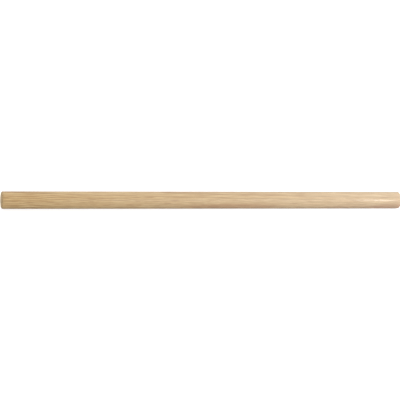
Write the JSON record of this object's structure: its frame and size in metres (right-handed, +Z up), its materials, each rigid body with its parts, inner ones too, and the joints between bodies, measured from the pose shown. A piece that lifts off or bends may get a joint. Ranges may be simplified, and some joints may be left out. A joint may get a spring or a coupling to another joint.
{
  "type": "devil stick",
  "caption": "Plain straight round wooden stick with softly domed ends and a clear satin lacquer, for juggling or exercise.",
  "frame": {"origin": "the stick's balance point, half-way along its axis", "axes": "X runs along the stick from its left end to its right end, Y points to its back, and +Z is up with the stick lying level"},
  "size_m": [0.6, 0.025, 0.025],
  "materials": {
    "lacquered_wood": "pale straight-grained wood under a thin clear satin lacquer"
  },
  "bodies": {
    "root": {"stick": "lacquered_wood"}
  },
  "joints": []
}
